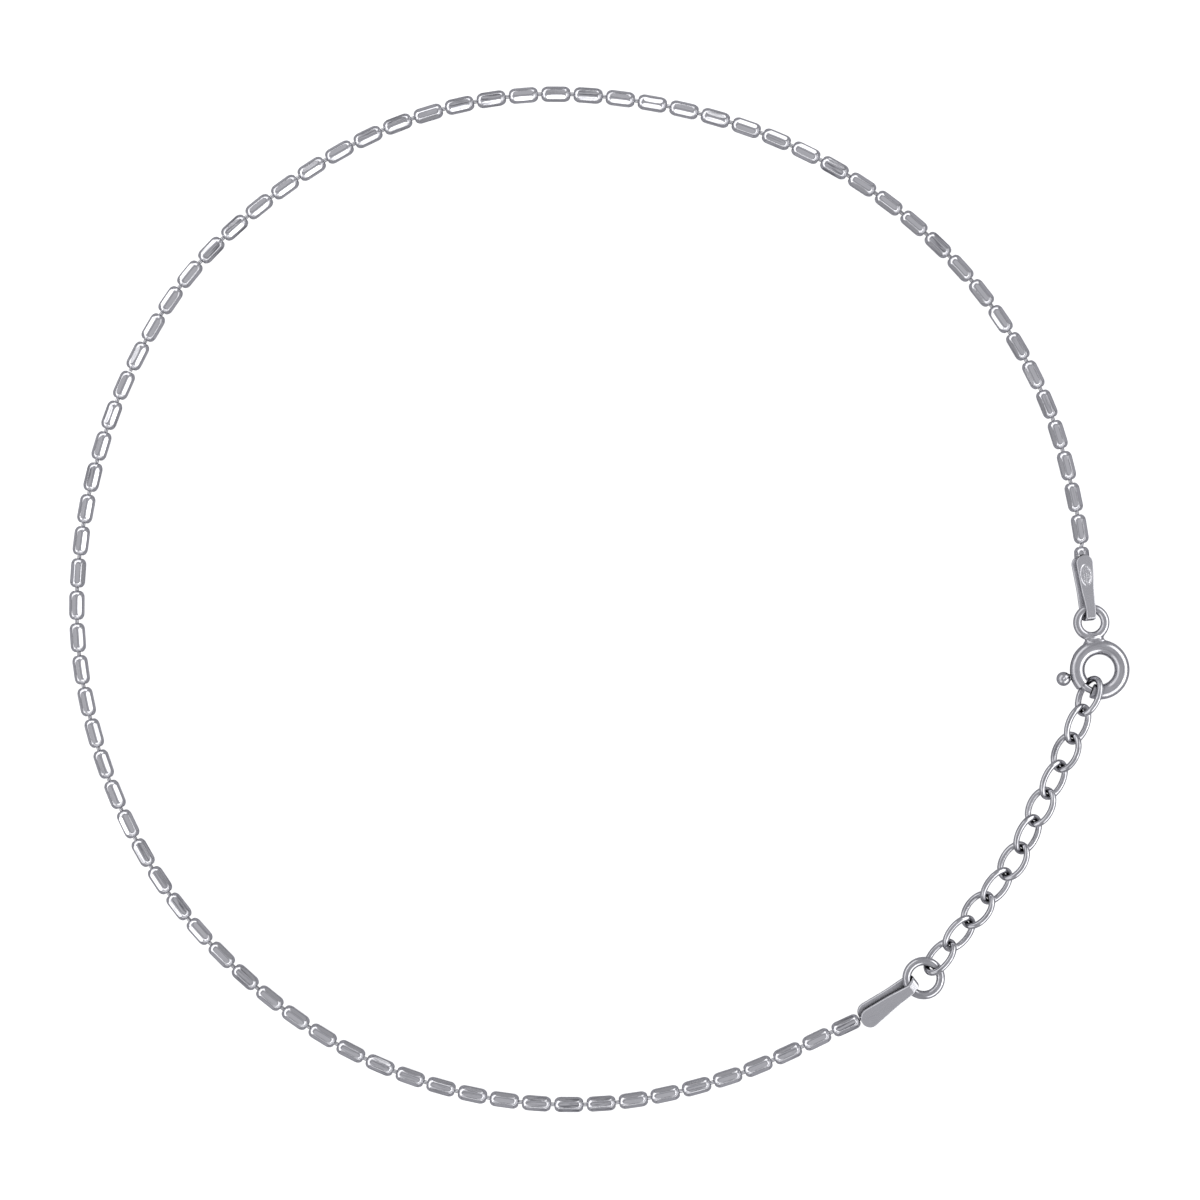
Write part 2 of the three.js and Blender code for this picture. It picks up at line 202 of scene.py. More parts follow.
# Rod swept along points: rings of the given radii stand square to the way, and its ends close up where the
# radii there are zero
def sweptRod(middles, alongs, radii, sides):
    axes = axesAlong(alongs, np.zeros(len(middles)))
    s = np.arange(sides) * 2 * np.pi / sides
    ring = np.cos(s)[None, :, None] * axes[:, None, 1] + np.sin(s)[None, :, None] * axes[:, None, 2]
    points = middles[:, None] + np.asarray(radii)[:, None, None] * ring
    way = np.concatenate([[0], np.cumsum(np.linalg.norm(np.diff(middles, axis=0), axis=1))])
    return gridShell(points, way)


print("stage: silver")
finish = {
    "silver": (0.86, 0.86, 0.885),       # base colour where the polish is clean
    "hazed": (0.77, 0.77, 0.80),         # where handling has dulled it
    # the next colour is painted shade, laid in the crevices and along the lines where the flats meet the
    # round skin
    "paintedShade": (0.06, 0.06, 0.066),         # in the crevices
    "streak": (0.27, 0.27, 0.295),       # in the drawn lines of the streaky pieces
    "uncut": (0.69, 0.69, 0.72),         # the beads' barrel skin between the cut flats
    # the next share is how dark the painted shade line along the flats' borders is
    "borderShare": 0.9,                  # how dark the flats' borders are
    "hazeSize": 1.6,                     # mm
    "creviceFrom": 0.8,                  # open share of the dome at which darkening starts
    "creviceTo": 0.3,                    # and at which it is full
    "creviceRays": 8,
    "hazeRange": (0.36, 0.66),           # of the soft noise
    "lineRange": (0.38, 0.62),           # of the drawn noise
    "toneSpread": 37.0,                  # how far apart two tones lie in the drawn noise
    "streakTones": (0.5, 1.0),           # tones from none to all of a piece's streaks
    "streakPower": 2.0,
    "borderHalf": 0.25,                  # the border's reach either side of an uncut value of a half
    "uncutRoughness": 0.8,               # how much rougher the round skin is than the flats
    "bumpHeight": 0.01,                  # mm
}


def newGroup(name, inputs, outputs):
    group = bpy.data.node_groups.new(name, "ShaderNodeTree")
    for label, kind, value in inputs:
        socket = group.interface.new_socket(name=label, in_out="INPUT", socket_type=kind)
        if value is not None:
            socket.default_value = value
    for label, kind in outputs:
        group.interface.new_socket(name=label, in_out="OUTPUT", socket_type=kind)
    return group, group.nodes.new("NodeGroupInput"), group.nodes.new("NodeGroupOutput")


def addMath(tree, operation, first, second=None):
    node = tree.nodes.new("ShaderNodeMath")
    node.operation = operation
    for slotNumber, value in enumerate((first, second)):
        if value is None:
            continue
        if isinstance(value, (int, float)):
            node.inputs[slotNumber].default_value = value
        else:
            tree.links.new(value, node.inputs[slotNumber])
    return node.outputs[0]


# A mix of two colours, each a tuple or a socket, by a socket
def addMix(tree, first, second, factor):
    node = tree.nodes.new("ShaderNodeMix")
    node.data_type = "RGBA"
    for label, value in (("A", first), ("B", second), ("Factor", factor)):
        if isinstance(value, tuple):
            node.inputs[label].default_value = (*value, 1)
        else:
            tree.links.new(value, node.inputs[label])
    return node.outputs["Result"]


# A value's range mapped to another one
def addRange(tree, value, reads=(0.0, 1.0), gives=(0.0, 1.0), clamped=True):
    node = tree.nodes.new("ShaderNodeMapRange")
    node.clamp = clamped
    node.inputs["From Min"].default_value, node.inputs["From Max"].default_value = reads
    node.inputs["To Min"].default_value, node.inputs["To Max"].default_value = gives
    tree.links.new(value, node.inputs["Value"])
    return node.outputs["Result"]


def addNoise(tree, place, detail, roughness):
    node = tree.nodes.new("ShaderNodeTexNoise")
    node.inputs["Detail"].default_value = detail
    node.inputs["Roughness"].default_value = roughness
    tree.links.new(place, node.inputs["Vector"])
    return node


def addGroup(tree, group):
    node = tree.nodes.new("ShaderNodeGroup")
    node.node_tree = group
    return node


def addAttribute(tree, name):
    node = tree.nodes.new("ShaderNodeAttribute")
    node.attribute_name = name
    return node.outputs["Fac"]


# Handling haze: soft noise over the object, as a mask from 0 (clean) to 1 (dulled)
def makeHazeGroup():
    group, inside, outside = newGroup(
        "silverHaze",
        [("Place", "NodeSocketVector", None), ("Size", "NodeSocketFloat", finish["hazeSize"])],
        [("Haze", "NodeSocketFloat")])
    scale = addMath(group, "DIVIDE", 1000.0, inside.outputs["Size"])
    soft = addNoise(group, inside.outputs["Place"], detail=3.0, roughness=0.62)
    group.links.new(scale, soft.inputs["Scale"])
    group.links.new(addRange(group, soft.outputs["Fac"], finish["hazeRange"]), outside.inputs["Haze"])
    return group


# Drawn lines: noise that is stretched along the piece's own length, as a height and a mask
def makeDrawnGroup():
    group, inside, outside = newGroup(
        "drawnLines",
        [("Surface", "NodeSocketVector", None), ("Along", "NodeSocketFloat", 0.7),
         ("Across", "NodeSocketFloat", 60.0), ("Offset", "NodeSocketFloat", 0.0)],
        [("Height", "NodeSocketFloat"), ("Line", "NodeSocketFloat")])
    parts = group.nodes.new("ShaderNodeSeparateXYZ")
    group.links.new(inside.outputs["Surface"], parts.inputs[0])
    joined = group.nodes.new("ShaderNodeCombineXYZ")
    for axis, value, share in (("X", parts.outputs["X"], inside.outputs["Along"]),
                               ("Y", parts.outputs["Y"], inside.outputs["Across"]),
                               ("Z", inside.outputs["Offset"], finish["toneSpread"])):
        group.links.new(addMath(group, "MULTIPLY", value, share), joined.inputs[axis])
    lines = addNoise(group, joined.outputs[0], detail=4.0, roughness=0.7)
    lines.inputs["Scale"].default_value = 1.0
    group.links.new(lines.outputs["Fac"], outside.inputs["Height"])
    group.links.new(addRange(group, lines.outputs["Fac"], finish["lineRange"]), outside.inputs["Line"])
    return group


# Painted crevice shade: how much of a small dome over the surface is closed off by metal, as a mask from 0
# (open) to 1 (deep in a crossing), by which the colour darkens where shade falls
def makeCreviceGroup():
    group, inside, outside = newGroup(
        "silverCreviceShade", [("Reach", "NodeSocketFloat", 0.0005)], [("Crevice", "NodeSocketFloat")])
    closed = group.nodes.new("ShaderNodeAmbientOcclusion")
    closed.samples = finish["creviceRays"]
    group.links.new(inside.outputs["Reach"], closed.inputs["Distance"])
    depth = addRange(group, closed.outputs["AO"], (finish["creviceFrom"], finish["creviceTo"]))
    group.links.new(depth, outside.inputs["Crevice"])
    return group


hazeGroup = makeHazeGroup()
drawnGroup = makeDrawnGroup()
creviceGroup = makeCreviceGroup()


# One silver: the shader is the material's own, and the three groups feed its colour, roughness and bump
def makeSilver(name, values):
    material = bpy.data.materials.new(name)
    material.use_nodes = True
    tree = material.node_tree
    shader = tree.nodes["Principled BSDF"]
    shader.inputs["Metallic"].default_value = 1.0
    place = tree.nodes.new("ShaderNodeTexCoord")
    tone, uncut = addAttribute(tree, "tone"), addAttribute(tree, "uncut")
    haze = addGroup(tree, hazeGroup)
    haze.inputs["Size"].default_value = values["hazeSize"]
    tree.links.new(place.outputs["Object"], haze.inputs["Place"])
    drawn = addGroup(tree, drawnGroup)
    drawn.inputs["Along"].default_value = values["along"]
    drawn.inputs["Across"].default_value = values["across"]
    tree.links.new(place.outputs["UV"], drawn.inputs["Surface"])
    tree.links.new(tone, drawn.inputs["Offset"])
    crevice = addGroup(tree, creviceGroup)
    if "reachByTone" in values:
        reach = addMath(tree, "MULTIPLY", tone, values["reachByTone"] * mm)
        tree.links.new(reach, crevice.inputs["Reach"])
    else:
        crevice.inputs["Reach"].default_value = values["creviceReach"] * mm
    mixed = addMath(tree, "ADD",
                    addMath(tree, "MULTIPLY", haze.outputs["Haze"], values["hazeShare"]),
                    addMath(tree, "MULTIPLY", drawn.outputs["Line"], values["lineShare"]))
    # some pieces are streaked more than others, by their own tone
    streaky = addRange(tree, tone, finish["streakTones"], values["streaks"])
    fineLine = addMath(tree, "POWER", drawn.outputs["Line"], finish["streakPower"])
    streak = addMath(tree, "MULTIPLY", fineLine, streaky)
    # a fine painted shade line lies where a flat meets the round skin: share * (1 - 4 * |uncut - 0.5|), where
    # above 0
    fromBorder = addMath(tree, "ABSOLUTE", addMath(tree, "SUBTRACT", uncut, 0.5))
    border = addMath(tree, "MULTIPLY", addMath(tree, "SUBTRACT", finish["borderHalf"], fromBorder),
                     finish["borderShare"] / finish["borderHalf"])
    # painted shade: the crevice mask or the border line, whichever is stronger, darkens the colour
    shade = addMath(tree, "MAXIMUM", crevice.outputs["Crevice"], border)
    colour = addMix(tree, values["clean"], values["dulled"], mixed)
    colour = addMix(tree, colour, finish["streak"], streak)
    colour = addMix(tree, colour, finish["uncut"], uncut)
    colour = addMix(tree, colour, finish["paintedShade"], shade)
    tree.links.new(colour, shader.inputs["Base Color"])
    worn = addMath(tree, "ADD", mixed, addMath(tree, "MULTIPLY", uncut, finish["uncutRoughness"]))
    rough = addRange(tree, worn, gives=values["roughness"], clamped=False)
    tree.links.new(rough, shader.inputs["Roughness"])
    bump = tree.nodes.new("ShaderNodeBump")
    bump.inputs["Strength"].default_value = values["bump"]
    bump.inputs["Distance"].default_value = finish["bumpHeight"] * mm
    tree.links.new(drawn.outputs["Height"], bump.inputs["Height"])
    tree.links.new(bump.outputs["Normal"], shader.inputs["Normal"])
    return material


# along and across: drawn lines for each mm along a piece and for a turn round it. Reaches in mm
beadSilver = makeSilver("beadSilver", {
    "clean": finish["silver"], "dulled": finish["hazed"], "hazeSize": 1.3, "hazeShare": 0.45,
    "along": 0.5, "across": 24.0, "lineShare": 0.25, "streaks": (0.0, 1.5),
    "roughness": (0.06, 0.17), "bump": 0.07, "creviceReach": 0.35})
# the wire and clasp silvers have clean and dulled colours set darker than the beads' silver: painted shade on
# the same metal
wireSilver = makeSilver("wireSilver", {
    "clean": (0.74, 0.74, 0.765), "dulled": (0.62, 0.62, 0.65), "hazeSize": 1.0, "hazeShare": 0.5,
    "along": 0.6, "across": 9.0, "lineShare": 0.3, "streaks": (0.5, 1.2),
    "roughness": (0.08, 0.22), "bump": 0.25, "creviceReach": 0.5})
claspSilver = makeSilver("claspSilver", {
    "clean": (0.74, 0.74, 0.765), "dulled": (0.62, 0.62, 0.65), "hazeSize": 1.4, "hazeShare": 0.5,
    "along": 0.5, "across": 22.0, "lineShare": 0.25, "streaks": (0.4, 0.9),
    "roughness": (0.16, 0.3), "bump": 0.3, "creviceReach": 0.5})
satinSilver = makeSilver("satinSilver", {
    "clean": (0.76, 0.76, 0.785), "dulled": (0.66, 0.66, 0.69), "hazeSize": 0.6, "hazeShare": 0.4,
    "along": 1.2, "across": 90.0, "lineShare": 0.5, "streaks": (0.0, 0.1),
    "roughness": (0.16, 0.32), "bump": 0.5, "reachByTone": 1.4})

print("stage: places")
# Lengths in millimetres and angles in degrees. Places are the drawing's, before its middle is moved to
# the origin
string = {
    "length": 2.3, "radius": 0.64, "flats": 8, "gap": 0.29, "endRadius": 0.25, "shoulder": 0.54,
    "straightAt": 0.35,       # the straight side starts this far from a bead's middle
    "rod": 0.15, "headAt": 0.2, "clear": 0.07,
    # from this bead on, degrees that its flats lean outwards
    "rolls": [(0, 0), (15, -15), (19, 15), (28, 0), (29, 15), (36, -15),
              (40, 15), (47, 0), (48, 15), (55, -17), (60, 0)],
    "rollPlay": 3.0,          # degrees either way, different from bead to bead
    "rollShare": 0.618,       # of the play's whole range, from one bead to the next
    "roundRadius": 0.618,     # of the round profile, before the flats are cut
    "softEdge": 0.003,        # mm, how gently the finish of a flat passes into that of the round
    "route": [
        (38.6, 2.9), (38.4, 5.7), (35.8, 15.6), (30.6, 24.5), (23.2, 31.7), (14.3, 36.8),
        (4.4, 39.7), (-5.9, 40.4), (-15.9, 38.2), (-25.0, 33.2), (-32.8, 26.1), (-38.1, 17.2),
        (-41.1, 7.4), (-41.8, -2.9), (-39.8, -12.9), (-35.3, -22.3), (-28.5, -30.1), (-20.0, -36.1),
        (-10.1, -39.6), (0.2, -40.3), (10.3, -38.2), (19.8, -34.0), (21.5, -33.2)],
}
tabs = {
    "thickness": 1.0, "leaf": 0.2, "narrow": 0.76, "foldGap": 0.12, "rim": 0.09,
    "facetFrom": 0.1, "facetRun": 0.5,   # the pressed facet over the fold
    # rings of the strip: round end, leaf, under the fold, bend and facet. Points across and on each rim
    "endRings": 20, "leafRings": 110, "underRings": 14, "bendRings": 12, "facetRings": 10,
    "acrossPoints": 41, "rimPoints": 9, "endTurn": (0.6, 80), "ringSpace": 0.04, "joinSpace": 0.01,
    "upper": {"broad": 1.34, "span": 3.65, "slack": 0.28, "heading": -84, "skew": 0.36, "ring": -74,
              "shade": 0.09, "facetTilt": 9},
    "lower": {"broad": 1.52, "span": 3.95, "slack": 0.12, "heading": 37, "skew": -0.56, "ring": 26,
              "shade": 0.9, "facetTilt": 27},
}
clasp = {
    "radius": 1.8, "tube": 0.6, "bore": 0.37, "gapFrom": 223, "gapTo": 250, "eye": 1.11, "eyeWire": 0.35,
    "eyeHeading": 280, "solder": 1.75, "solderHeight": 0.43, "bolt": 0.27, "boltBite": 4, "boltTail": 12,
    "trigger": 194.5, "travel": 35, "neck": 0.17, "ball": 0.57, "standOff": 0.58, "margin": 6,
    "slotClear": 0.08, "rim": 0.05, "socketSlack": 3, "eyeSteps": (96, 28),
}
chain = {
    "length": 3.4, "width": 2.5, "tilt": 40, "endTilt": 52, "endSlack": 0.1,
    "heading": 248, "lastHeading": 52, "jump": 1.36,
    "wire": 0.25, "jumpWire": 0.345,                   # the wires' radii as they look
    "spacingWire": 0.22, "jumpSpacingWire": 0.32,      # and as the spacing of the rings counts them
    "toneStep": 0.37,                                  # from one link to the next
    "linkSteps": (84, 20), "jumpSteps": (112, 28),     # along the ring and round its wire
    "route": [(37.2, -12.35), (35.15, -16.73), (33.0, -21.0), (30.2, -24.8)],
}
halfLong = chain["length"] / 2 - chain["spacingWire"]
halfWide = chain["width"] / 2 - chain["spacingWire"]


def restHeight(tilt):
    return halfWide * np.sin(np.radians(tilt)) + chain["spacingWire"]


jumpHeight = restHeight(chain["endTilt"])
hang = halfLong - chain["spacingWire"] - chain["endSlack"] - string["clear"]
# the first link's width where the clasp's tube crosses it: width * sqrt(1 - (distance / length)^2)
crossingHalf = halfWide * math.sqrt(1 - ((hang - clasp["tube"]) / halfLong) ** 2)
crossingRise = crossingHalf * math.sin(math.radians(chain["endTilt"]))
claspHeight = jumpHeight + crossingRise - clasp["tube"] - chain["spacingWire"] - string["clear"]
upperEnd = np.array([*string["route"][0], string["radius"]])
lowerEnd = np.array([*string["route"][-1], string["radius"]])
upperHold = polar([*upperEnd[:2], claspHeight], tabs["upper"]["span"], tabs["upper"]["heading"])
lowerHold = polar([*lowerEnd[:2], jumpHeight], tabs["lower"]["span"], tabs["lower"]["heading"])
eyeCentre = polar(upperHold, clasp["eye"], tabs["upper"]["ring"])
eyeToClasp = clasp["eye"] + clasp["eyeWire"] + clasp["radius"] + clasp["tube"] - string["clear"] / 2
claspCentre = polar(eyeCentre, eyeToClasp, clasp["eyeHeading"])
jumpCentre = polar(lowerHold, chain["jump"], tabs["lower"]["ring"])

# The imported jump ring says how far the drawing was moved, and every place moves with it
low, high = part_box("jump_ring")
shift = (np.array(low) + np.array(high)) / 2 / mm - jumpCentre
shift[2] = 0
for place in (upperEnd, lowerEnd, upperHold, lowerHold, eyeCentre, claspCentre, jumpCentre):
    place += shift
stringLine = np.array([(x, y, 0) for x, y in string["route"]]) + shift
chainLine = np.array([(x, y, jumpHeight) for x, y in chain["route"]]) + shift

print("stage: bead strings")
route = routeThrough(stringLine)
pitch = string["length"] + string["gap"]
lastRoom = tabs["lower"]["broad"] / 2 + string["length"] / 2 + string["clear"]
beadCount = 1 + int((route[1][-1] - string["headAt"] - lastRoom) / pitch)
splitAt = math.ceil(beadCount / 2)
number = np.arange(beadCount)
flatAngle = 360 / string["flats"]
rollFrom, rollTo = np.array(string["rolls"]).T
play = np.modf(number * string["rollShare"])[0] * 2 - 1
beadRoll = rollTo[np.searchsorted(rollFrom, number, side="right") - 1] + string["rollPlay"] * play
beadPlace, beadAlong = routeAt(route, string["headAt"] + number * pitch)
beadPlace[:, 2] = string["radius"] * np.cos(np.radians(flatAngle / 2 - np.abs(beadRoll)))
beadAxes = axesAlong(beadAlong, beadRoll)


# Cut barrel on a grid of places along its axis and angles round it: the radius is the lesser of a round
# profile (rod, end face, quarter-ellipse shoulder, straight side) and the way to the nearest flat,
# flat distance / cos(angle from the flat's middle). Uncut is 1 on the round skin, 0 on the flats and
# a half where they meet.
def barrelGrid():
    half = string["length"] / 2
    turn = np.radians(np.array([0, 10, 22, 35, 47, 57, 64, 69, 74, 79, 84, 90]))
    shoulderRadius = string["endRadius"] + (string["roundRadius"] - string["endRadius"]) * np.sin(turn)
    shoulderPlace = -half + string["shoulder"] * (1 - np.cos(turn))
    radius = np.concatenate([[string["rod"]], shoulderRadius, [string["roundRadius"]]])
    place = np.concatenate([[-half], shoulderPlace, [-string["straightAt"]]])
    radius, place = np.concatenate([radius, radius[::-1]]), np.concatenate([place, -place[::-1]])
    flat = string["radius"] * np.cos(np.radians(flatAngle / 2))
    border = math.degrees(math.acos(flat / string["roundRadius"]))
    # degrees from the flat's middle: its edge to the next flat, its borders at full radius, and between
    within = np.array([-flatAngle / 2, -19.5, -border, -14, -7, 0, 7, 14, border, 19.5])
    angle = (np.arange(string["flats"])[:, None] * flatAngle + within).ravel()
    toFlat = flat / np.cos(np.radians(np.tile(within, string["flats"])))
    cut = np.minimum(radius[:, None], toFlat[None])
    uncut = softStep((radius[:, None] - toFlat[None]) / string["softEdge"])
    along = np.repeat(place[:, None], len(angle), 1)
    turned = np.radians(angle)[None]
    points = np.stack([along, -cut * np.sin(turned), cut * np.cos(turned)], -1)
    return points, (angle + flatAngle / 2) / 360, uncut


barrel, barrelRound, barrelUncut = barrelGrid()
ringCount, aroundCount = barrel.shape[:2]


# The head bead ends against the tab: its places along are never nearer to the tab's round end than the
# circle of that end grown by the clearance, sqrt(radius squared - sideways squared)
def headBarrel():
    roll = math.radians(beadRoll[0])
    sideways = barrel[..., 1] * math.cos(roll) - barrel[..., 2] * math.sin(roll)
    reach = tabs["upper"]["broad"] / 2 + string["clear"]
    head = barrel.copy()
    head[..., 0] = np.maximum(head[..., 0], np.sqrt(reach**2 - sideways**2) - string["headAt"])
    return head


def ringAt(place, axes, radius):
    angle = barrelRound * 2 * np.pi
    return place + radius * (-np.sin(angle)[:, None] * axes[1] + np.cos(angle)[:, None] * axes[2])


# One continuous skin: end point, rod, then bead after bead with the rods between them, rod, end point
def stringShell(first, last):
    local = np.repeat(barrel[None], last - first, 0)
    if first == 0:
        local[0] = headBarrel()
    body = np.einsum("brac,bcd->brad", local, beadAxes[first:last]) + beadPlace[first:last, None, None]
    body = body.reshape(-1, aroundCount, 3)
    if first == 0:
        openingRings = [ringAt(upperEnd, beadAxes[0], 0), ringAt(upperEnd, beadAxes[0], string["rod"])]
    else:
        face = beadPlace[first] - beadAxes[first][0] * string["length"] / 2
        openingRings = [ringAt(face, beadAxes[first], 0)]
    if last == beadCount:
        end, axes = lowerEnd, beadAxes[last - 1]
    else:
        axes = beadAxes[last]
        end = beadPlace[last] - axes[0] * (string["length"] / 2 + string["clear"])
    closingRings = [ringAt(end, axes, string["rod"]), ringAt(end, axes, 0)]
    points = np.concatenate([np.stack(openingRings), body, np.stack(closingRings)])
    middle = points.mean(1)
    way = np.concatenate([[0], np.cumsum(np.linalg.norm(np.diff(middle, axis=0), axis=1))])
    # a scattered tone for each bead: what is after the point in 43758.5453 * |sin(12.9898 * number)|
    tone = np.modf(np.abs(np.sin((np.arange(first, last) + 1) * 12.9898)) * 43758.5453)[0]
    tones = np.concatenate([np.full(len(openingRings), 0.5), np.repeat(tone, ringCount), np.full(2, 0.5)])
    uncut = np.concatenate([np.ones(aroundCount * len(openingRings)),
                            np.tile(barrelUncut.ravel(), last - first), np.ones(aroundCount * 2)])
    return gridShell(points, way, roundColumns=barrelRound), np.repeat(tones, aroundCount), uncut


beadStrings = []
for name, first, last in (("bead_string_upper", 0, splitAt), ("bead_string_lower", splitAt, beadCount)):
    shell, tones, uncut = stringShell(first, last)
    pieceName = "beadString" + name.split("_")[-1].title()
    beadStrings.append(makePiece(pieceName, [shell], beadSilver, "anklet", [name],
                                 tones, uncut))

print("stage: folded tabs")


# Middle line of a folded tab from the side: straight on the back leaf, easing towards the fold by
# 3t^2 - 2t^3, a quarter circle under the fold, a bend (1-t)^2 * nose + 2t(1-t) * corner + t^2 * facet's
# end up to the pressed facet, and the front leaf back. It also marks the front leaf's points.
def tabMiddle(tab, foldRadius, foldAt):
    half = tabs["thickness"] / 2 - tabs["leaf"] / 2
    ends = -tab["broad"] / 2 * np.cos(np.radians(np.linspace(*tabs["endTurn"], tabs["endRings"])))
    leafX = np.concatenate([ends, np.linspace(ends[-1] + tabs["ringSpace"], foldAt, tabs["leafRings"])])
    ease = np.clip((leafX - tab["span"] / 2) / (foldAt - tab["span"] / 2), 0, 1)
    leafZ = half + (foldRadius - half) * (3 * ease**2 - 2 * ease**3)
    turn = np.radians(np.linspace(-90, 0, tabs["underRings"])[1:])
    drop = math.tan(math.radians(tab["facetTilt"]))
    facetWay = np.linspace(tabs["facetRun"], 0, tabs["facetRings"])
    facetX = foldAt - tabs["facetFrom"] + facetWay
    facetZ = foldRadius - drop * facetWay
    noseX = foldAt + foldRadius
    cornerZ = foldRadius - drop * (foldRadius + tabs["facetFrom"])
    t = np.linspace(0, 1, tabs["bendRings"])[1:-1]
    bendX = (1 - t**2) * noseX + t**2 * facetX[0]
    bendZ = 2 * t * (1 - t) * cornerZ + t**2 * facetZ[0]
    frontLeaf = leafX < facetX[-1] - tabs["joinSpace"]
    x = np.concatenate([leafX, foldAt + foldRadius * np.cos(turn), bendX, facetX, leafX[frontLeaf][::-1]])
    z = np.concatenate([-leafZ, foldRadius * np.sin(turn), bendZ, facetZ, leafZ[frontLeaf][::-1]])
    return x, z, np.arange(len(x)) >= len(x) - frontLeaf.sum()


# Section of the sheet for each half width: a flat outer side, a rounded rim, a flat inner side and a
# rounded rim, as ways sideways and lifts off the middle line
def tabSection(halfWidth):
    thick = tabs["leaf"] / 2
    across = np.linspace(-1, 1, tabs["acrossPoints"])
    corner = np.radians(np.linspace(0, 180, tabs["rimPoints"])[1:-1])
    flatHalf = np.maximum(halfWidth - tabs["rim"], 0)[:, None]
    rimNow = np.minimum(tabs["rim"], halfWidth)[:, None]
    outerSide = flatHalf * across
    rimSide = flatHalf + rimNow * np.sin(corner)
    outerLift = np.full_like(outerSide, thick)
    rimLift = thick * np.cos(corner)[None] * np.ones_like(rimNow)
    return (np.concatenate([outerSide, rimSide, -outerSide, -rimSide], 1),
            np.concatenate([outerLift, rimLift, -outerLift, -rimLift], 1))


# Folded tab: a strip of sheet runs in under the held wire, over it and back. Its half width is
# sqrt(r^2 - x^2) at the round ends and falls evenly to the narrow width at the fold.
def tabShell(tab, heldRadius, end, hold, mark=None):
    foldRadius = heldRadius + tabs["foldGap"] + tabs["leaf"] / 2
    x, z, front = tabMiddle(tab, foldRadius, tab["span"] + tab["slack"])
    broad, narrow = tab["broad"] / 2, tabs["narrow"] / 2
    lean = math.asin((broad - narrow) / tab["span"])
    roundEnd = np.sqrt(np.maximum(broad**2 - x**2, 0))
    taper = broad * math.cos(lean) - (x - broad * math.sin(lean)) * math.tan(lean)
    halfWidth = np.where(x < broad * math.sin(lean), roundEnd, np.maximum(taper, narrow))
    sideways, lift = tabSection(halfWidth)
    if mark:
        outerFront = front[:, None] & (lift >= tabs["leaf"] / 2 - 1e-9)
        lift = lift + np.where(outerFront, mark(x[:, None], sideways), 0)
    slope = unit(np.stack([np.gradient(x), np.gradient(z)], -1))
    outward = np.stack([slope[:, 1], 0 * x, -slope[:, 0]], -1)
    level = np.array([0.0, 1.0, 0.0])
    points = np.stack([x, 0 * x, z], -1)[:, None] + sideways[..., None] * level
    points = points + lift[..., None] * outward[:, None]
    closing = points.mean(1, keepdims=True).repeat(points.shape[1], 1)
    points = np.concatenate([closing[:1], points, closing[-1:]])
    points[..., 1] += tab["skew"] * points[..., 2]
    way = np.concatenate([[0], np.cumsum(np.linalg.norm(np.diff(points.mean(1), axis=0), axis=1))])
    return gridShell(points @ axesAlong(hold - end, 0.0) + end, way)


punch = {"x": 0.95, "y": 0.0, "halfLong": 0.78, "halfWide": 0.4, "grooveWidth": 0.045,
         "grooveDepth": 0.045, "sink": 0.02, "sinkEdge": 0.02, "grain": 0.008}


# Upper tab's plain oval punch: a shallow groove along an ellipse, and a slightly sunk field inside it
# with a grain of crossed waves, sin(31x + 9 sin 17y) + sin(37y + 7 sin 19x)
def ovalPunch(x, y):
    reach = np.sqrt(((x - punch["x"]) / punch["halfLong"]) ** 2 + ((y - punch["y"]) / punch["halfWide"]) ** 2)
    away = (reach - 1) * punch["halfWide"]
    groove = np.exp(-((away / punch["grooveWidth"]) ** 2)) * punch["grooveDepth"]
    grain = punch["grain"] * (np.sin(31 * x + 9 * np.sin(17 * y)) + np.sin(37 * y + 7 * np.sin(19 * x)))
    return -groove - softStep(away / punch["sinkEdge"]) * (punch["sink"] + grain)


# each tab's tone says how far its painted crevice shade reaches: the lower one's back leaf lies in deeper
# shade
for side, heldRadius, end, hold, mark in (
        ("upper", clasp["eyeWire"], upperEnd, upperHold, ovalPunch),
        ("lower", chain["jumpSpacingWire"], lowerEnd, lowerHold, None)):
    shell = tabShell(tabs[side], heldRadius, end, hold, mark)
    makePiece("endTab" + side.title(), [shell], satinSilver, "anklet", ["end_tab_" + side],
              np.full(len(shell[0]), tabs[side]["shade"]))

print("stage: spring ring")


ringMesh = {
    "slotRings": 13, "outerRings": 72, "lipRings": 6,     # along the tube
    "slotSpaces": 8, "roundSpaces": 44,                   # round it
}
solder = {
    "fromTube": 0.3, "intoEye": 0.1, "waist": 0.16, "taper": 0.12, "endRise": 0.25, "capPower": 6,
    "waveOne": 0.05, "waveTwo": 0.04, "wayInMarks": 1.2, "rings": 26, "sides": 40,
}


